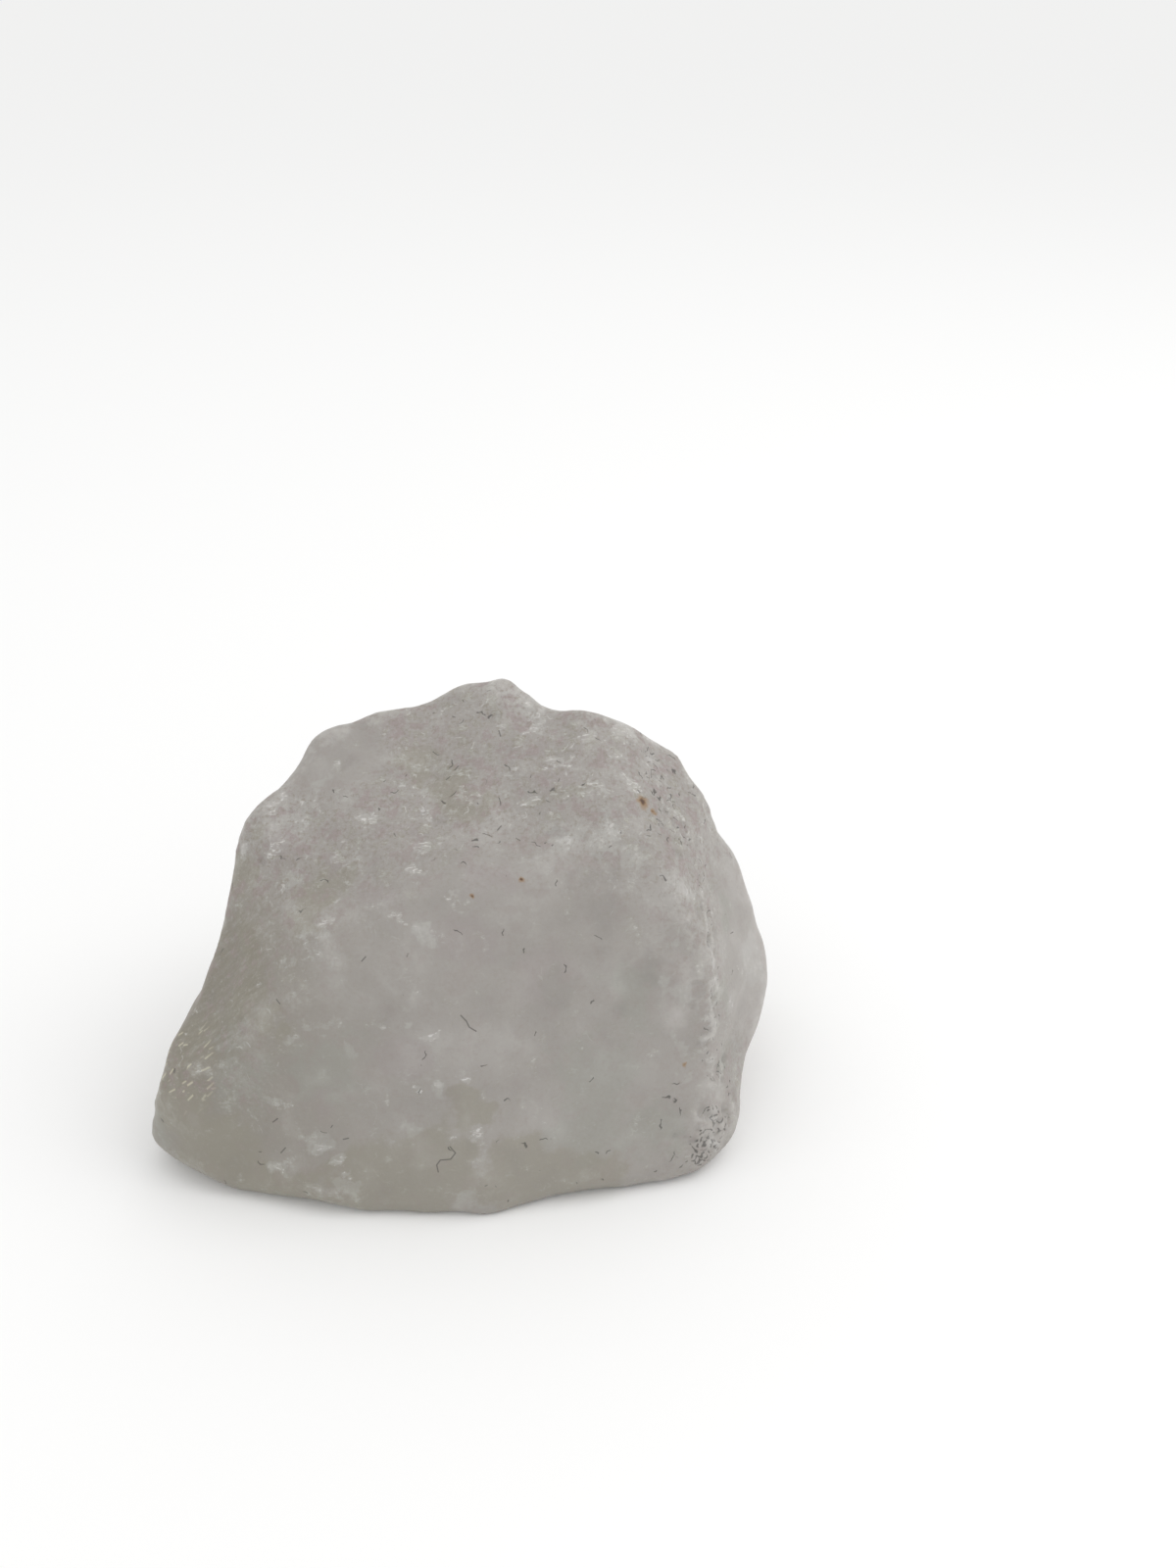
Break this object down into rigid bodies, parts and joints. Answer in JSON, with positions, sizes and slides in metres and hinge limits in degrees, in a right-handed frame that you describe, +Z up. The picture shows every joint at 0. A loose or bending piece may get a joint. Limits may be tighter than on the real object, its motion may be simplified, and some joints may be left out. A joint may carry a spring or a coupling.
{
  "type": "raw quartz crystal",
  "caption": "Rough palm-sized lump of milky quartz with broad worn fracture faces, low ledges and shell-shaped scoops, resting on its flat underside.",
  "frame": {"origin": "middle of the bounding box on the flat underside", "axes": "+Z up from the underside, +X along the longest side, the broad front face looks to -Y"},
  "size_m": [0.0524, 0.0402, 0.0361],
  "materials": {
    "quartz": "cloudy milky quartz, waxy half-dull broken skin with hazy white veils and fine cracks"
  },
  "bodies": {
    "root": {"quartz_crystal": "quartz"}
  },
  "joints": []
}
